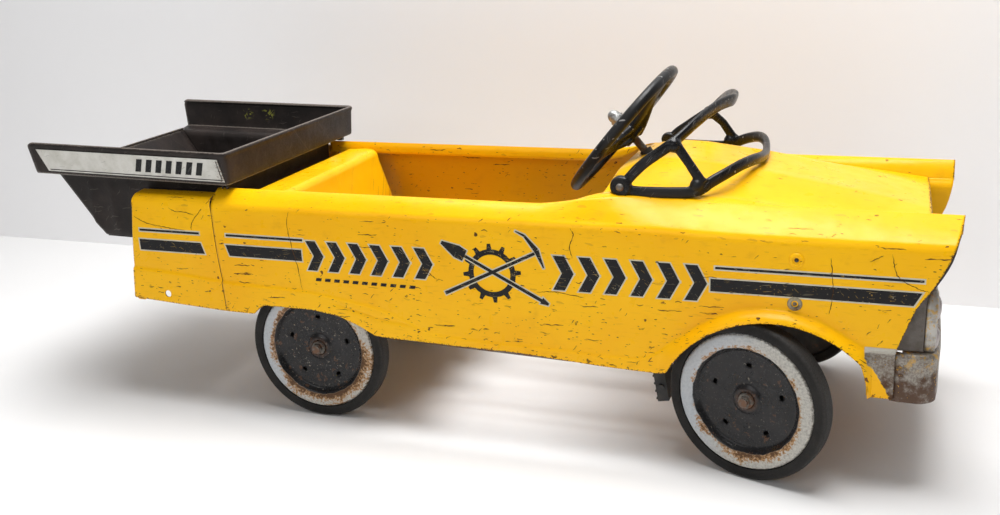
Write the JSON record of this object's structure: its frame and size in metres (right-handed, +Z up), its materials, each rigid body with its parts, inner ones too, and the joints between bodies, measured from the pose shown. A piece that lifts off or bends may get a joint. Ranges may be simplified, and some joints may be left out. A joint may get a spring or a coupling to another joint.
{
  "type": "pedal car",
  "caption": "Pressed-steel pedal car with a tipping dump bed, fender ridges, windshield frame, steering wheel and disc wheels with solid tyres.",
  "frame": {"origin": "under the middle of the whole car, at floor level", "axes": "+X forward, +Y to the car's left, +Z up; the front wheels stand turned 18 degrees to the right at rest"},
  "size_m": [1.2157, 0.4424, 0.4604],
  "materials": {
    "yellow_enamel": "glossy, scratched and chipped",
    "black_enamel": "semi-gloss, scratched",
    "white_enamel": "semi-gloss, worn",
    "silver_paint": "dull silver",
    "black_plastic": "satin",
    "tyre_rubber": "worn rubber",
    "black_rubber": "matte",
    "wheel_enamel": "enamel with a white ring and rust",
    "plated_steel": "dull plated",
    "dark_steel": "satin black",
    "rusty_steel": "rusty"
  },
  "bodies": {
    "body": {"side_panel_right": "yellow_enamel", "side_panel_left": "yellow_enamel", "hood": "yellow_enamel", "rear_quarter_right": "yellow_enamel", "rear_quarter_left": "yellow_enamel", "seat": "yellow_enamel", "rear_panel": "yellow_enamel", "grille": "silver_paint", "headlamps": "silver_paint", "bumper": "silver_paint", "windshield_frame": "black_plastic", "windshield_screws": "rusty_steel", "side_rivets": "rusty_steel", "frame_rails": "dark_steel", "front_axle_beam": "dark_steel", "axle_hangers": "dark_steel", "axle_bearings": "plated_steel", "column_bracket": "dark_steel", "column_grommet": "black_plastic", "pedal_rod": "rusty_steel", "pedal_rod_brackets": "dark_steel", "hinge_brackets": "dark_steel", "hinge_rod": "rusty_steel"},
    "dump_bed": {"dump_bed": "black_enamel", "band_plates": "white_enamel"},
    "steering": {"steering_column": "rusty_steel", "steering_wheel": "black_plastic", "acorn_nut": "plated_steel"},
    "spindle_right": {"spindle_right": "rusty_steel", "kingpin_nut_right": "rusty_steel", "nut_front_right": "rusty_steel"},
    "spindle_left": {"spindle_left": "rusty_steel", "kingpin_nut_left": "rusty_steel", "nut_front_left": "rusty_steel"},
    "tie_rod": {"tie_rod": "rusty_steel"},
    "wheel_front_right": {"tyre_front_right": "tyre_rubber", "disc_front_right": "wheel_enamel", "inner_disc_front_right": "wheel_enamel", "hub_front_right": "rusty_steel"},
    "wheel_front_left": {"tyre_front_left": "tyre_rubber", "disc_front_left": "wheel_enamel", "inner_disc_front_left": "wheel_enamel", "hub_front_left": "rusty_steel"},
    "crank": {"crank_axle": "rusty_steel", "rear_axle_nuts": "rusty_steel", "tyre_rear_right": "tyre_rubber", "disc_rear_right": "wheel_enamel", "inner_disc_rear_right": "wheel_enamel", "hub_rear_right": "rusty_steel"},
    "wheel_rear_left": {"tyre_rear_left": "tyre_rubber", "disc_rear_left": "wheel_enamel", "inner_disc_rear_left": "wheel_enamel", "hub_rear_left": "rusty_steel"},
    "push_rod_right": {"push_rod_right": "rusty_steel"},
    "push_rod_left": {"push_rod_left": "rusty_steel"},
    "pedal_right": {"pedal_arm_right": "dark_steel", "pedal_pad_right": "black_rubber"},
    "pedal_left": {"pedal_arm_left": "dark_steel", "pedal_pad_left": "black_rubber"}
  },
  "joints": [
    {"name": "dump_tilt", "type": "hinge", "parent": "body", "child": "dump_bed", "pos_m": [-0.45701, 0, 0.221], "axis": [0, -1, 0], "range_deg": [0, 50]},
    {"name": "steering", "type": "hinge", "parent": "body", "child": "steering", "pos_m": [0.39201, 0, 0.10318], "axis": [-0.5519, 0, 0.8339], "range_deg": [-7, 43]},
    {"name": "spindle_right_turn", "type": "hinge", "parent": "body", "child": "spindle_right", "pos_m": [0.39899, -0.149, 0.0984], "axis": [0, 0, 1], "range_deg": [-7, 43]},
    {"name": "spindle_left_turn", "type": "hinge", "parent": "body", "child": "spindle_left", "pos_m": [0.39899, 0.149, 0.0984], "axis": [0, 0, 1], "range_deg": [-7, 43]},
    {"name": "tie_rod_pivot", "type": "hinge", "parent": "spindle_right", "child": "tie_rod", "pos_m": [0.35904, -0.13602, 0.078], "axis": [0, 0, 1], "range_deg": [-43, 7]},
    {"name": "front_wheel_right_spin", "type": "hinge", "parent": "spindle_right", "child": "wheel_front_right", "pos_m": [0.38879, -0.18038, 0.0984], "axis": [0.309, 0.9511, 0], "continuous": true},
    {"name": "front_wheel_left_spin", "type": "hinge", "parent": "spindle_left", "child": "wheel_front_left", "pos_m": [0.40919, 0.18038, 0.0984], "axis": [0.309, 0.9511, 0], "continuous": true},
    {"name": "crank_spin", "type": "hinge", "parent": "body", "child": "crank", "pos_m": [-0.18901, 0, 0.0984], "axis": [0, 1, 0], "continuous": true},
    {"name": "rear_wheel_left_spin", "type": "hinge", "parent": "crank", "child": "wheel_rear_left", "pos_m": [-0.18901, 0.155, 0.0984], "axis": [0, 1, 0], "continuous": true},
    {"name": "push_rod_right_pivot", "type": "hinge", "parent": "crank", "child": "push_rod_right", "pos_m": [-0.15901, -0.092, 0.0984], "axis": [0, 1, 0], "continuous": true},
    {"name": "push_rod_left_pivot", "type": "hinge", "parent": "crank", "child": "push_rod_left", "pos_m": [-0.21901, 0.092, 0.0984], "axis": [0, 1, 0], "continuous": true},
    {"name": "pedal_right_swing", "type": "hinge", "parent": "body", "child": "pedal_right", "pos_m": [0.24899, -0.092, 0.268], "axis": [0, 1, 0], "range_deg": [0, 19]},
    {"name": "pedal_left_swing", "type": "hinge", "parent": "body", "child": "pedal_left", "pos_m": [0.24899, 0.092, 0.268], "axis": [0, 1, 0], "range_deg": [-19, 0]}
  ],
  "couplings": [
    {"joint": "spindle_right_turn", "follows": "steering", "ratio": 1},
    {"joint": "spindle_left_turn", "follows": "steering", "ratio": 1},
    {"joint": "tie_rod_pivot", "follows": "steering", "ratio": -1},
    {"joint": "push_rod_right_pivot", "follows": "crank_spin", "ratio": -1},
    {"joint": "push_rod_left_pivot", "follows": "crank_spin", "ratio": -1},
    {"joint": "pedal_left_swing", "follows": "pedal_right_swing", "ratio": -1}
  ]
}
